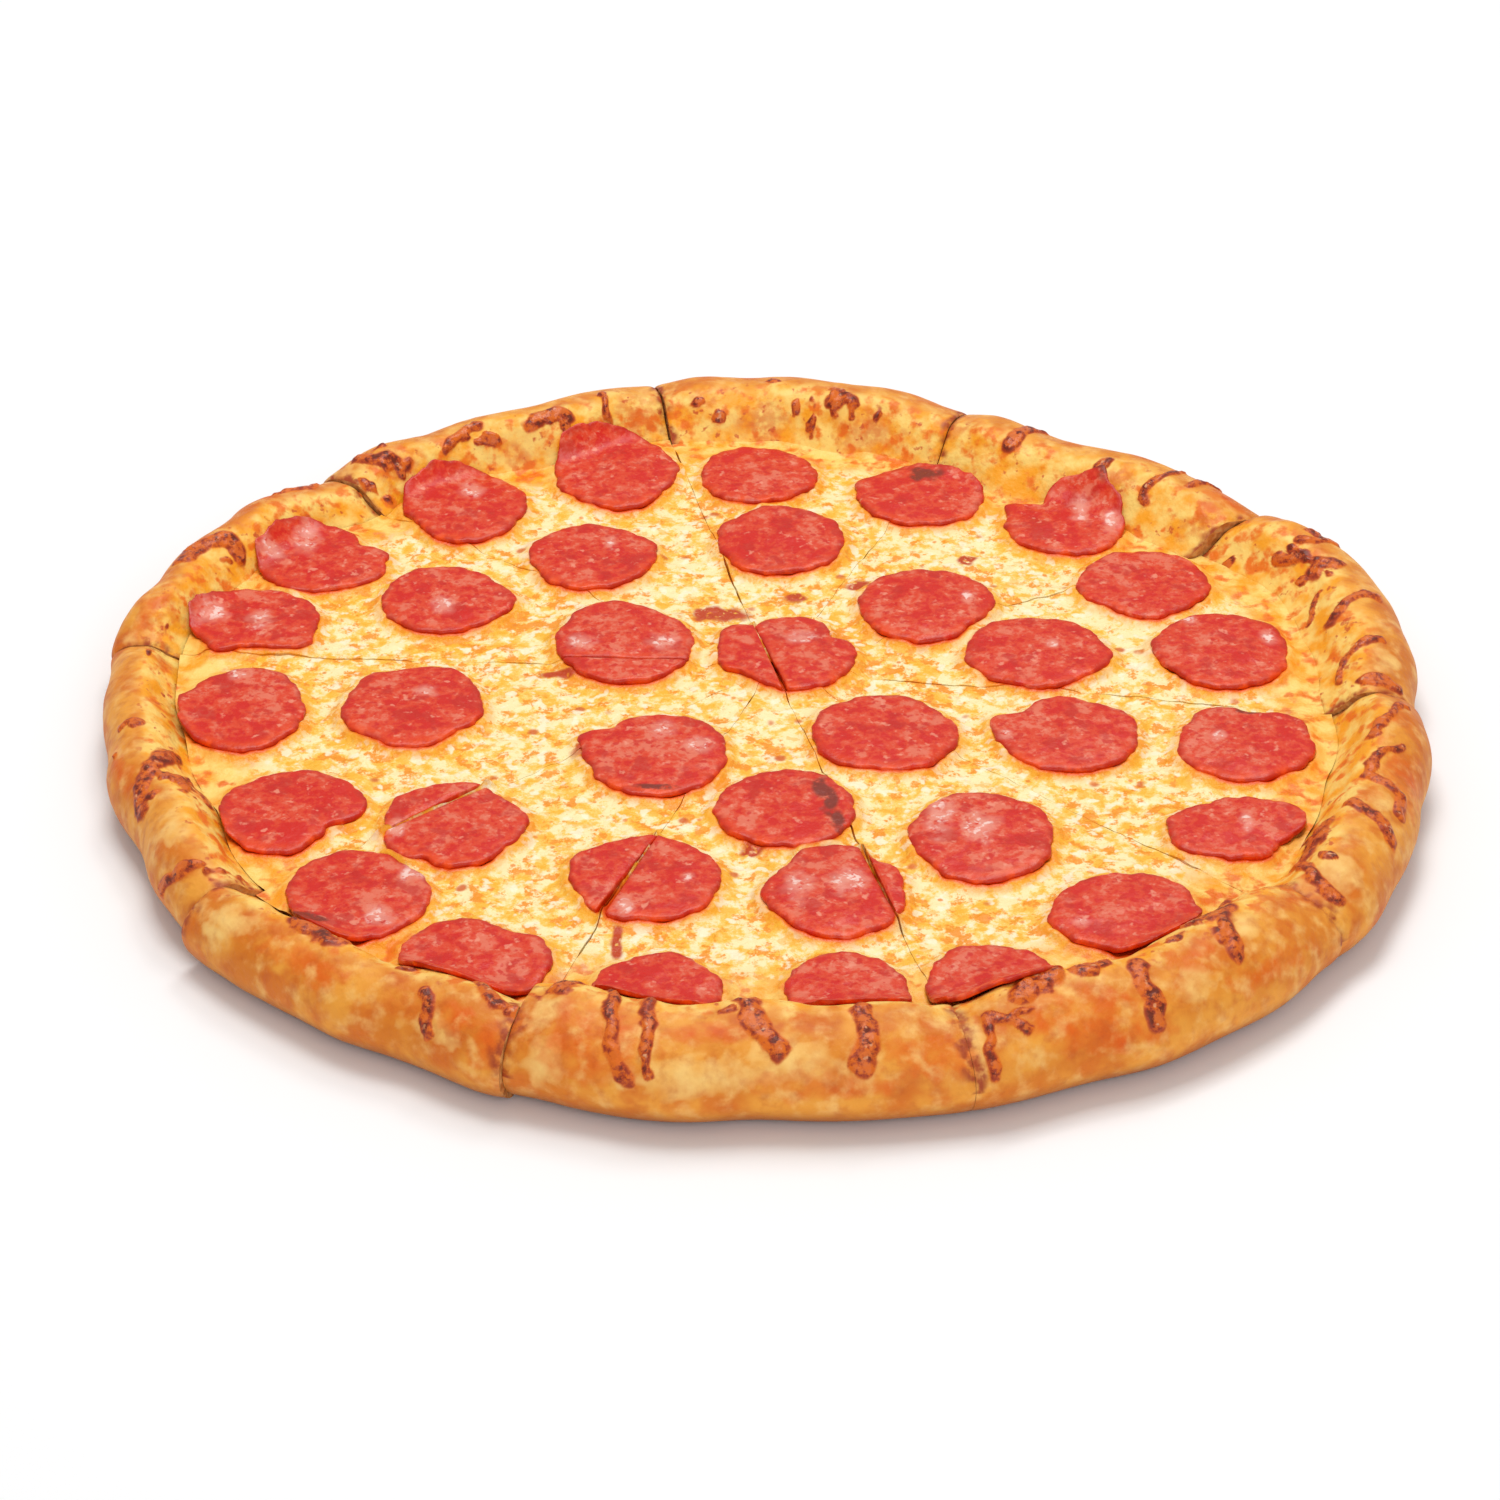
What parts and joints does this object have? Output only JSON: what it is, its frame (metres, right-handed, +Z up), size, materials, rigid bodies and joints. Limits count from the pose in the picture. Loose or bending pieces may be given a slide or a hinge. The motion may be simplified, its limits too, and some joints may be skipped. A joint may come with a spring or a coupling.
{
  "type": "pepperoni pizza",
  "caption": "Whole round pizza with a thick rolled rim and melted cheese, cut into slices that lie together and topped with sliced pepperoni.",
  "frame": {"origin": "middle of the pizza's outline, on the surface it lies on", "axes": "+Z up, -Y towards the side that faces the viewer in the picture, +X to the viewer's right"},
  "size_m": [0.3568, 0.3587, 0.027],
  "materials": {
    "dough": "baked bread crust, golden brown, dry to slightly oily",
    "cheese": "melted cheese, cream to orange yellow, oily sheen",
    "pepperoni": "cured sausage slice, speckled red, oily"
  },
  "bodies": {
    "root": {"dough_01": "dough", "dough_02": "dough", "dough_03": "dough", "dough_04": "dough", "dough_05": "dough", "dough_06": "dough", "dough_07": "dough", "dough_08": "dough", "dough_09": "dough", "dough_10": "dough", "cheese_01": "cheese", "cheese_02": "cheese", "cheese_03": "cheese", "cheese_04": "cheese", "cheese_05": "cheese", "cheese_06": "cheese", "cheese_07": "cheese", "cheese_08": "cheese", "cheese_09": "cheese", "cheese_10": "cheese", "pepperoni_01": "pepperoni", "pepperoni_02": "pepperoni", "pepperoni_03": "pepperoni", "pepperoni_04": "pepperoni", "pepperoni_05": "pepperoni", "pepperoni_06": "pepperoni", "pepperoni_07": "pepperoni", "pepperoni_08": "pepperoni", "pepperoni_09": "pepperoni", "pepperoni_10": "pepperoni", "pepperoni_11": "pepperoni", "pepperoni_12": "pepperoni", "pepperoni_13a": "pepperoni", "pepperoni_13b": "pepperoni", "pepperoni_14a": "pepperoni", "pepperoni_14b": "pepperoni", "pepperoni_15": "pepperoni", "pepperoni_16": "pepperoni", "pepperoni_17": "pepperoni", "pepperoni_18": "pepperoni", "pepperoni_19": "pepperoni", "pepperoni_20": "pepperoni", "pepperoni_21": "pepperoni", "pepperoni_22": "pepperoni", "pepperoni_23": "pepperoni", "pepperoni_24a": "pepperoni", "pepperoni_24b": "pepperoni", "pepperoni_25": "pepperoni", "pepperoni_26": "pepperoni", "pepperoni_27a": "pepperoni", "pepperoni_27b": "pepperoni", "pepperoni_28": "pepperoni", "pepperoni_29a": "pepperoni", "pepperoni_29b": "pepperoni", "pepperoni_30": "pepperoni", "pepperoni_31": "pepperoni", "pepperoni_32": "pepperoni", "pepperoni_33": "pepperoni", "pepperoni_34": "pepperoni", "pepperoni_35": "pepperoni"}
  },
  "joints": []
}
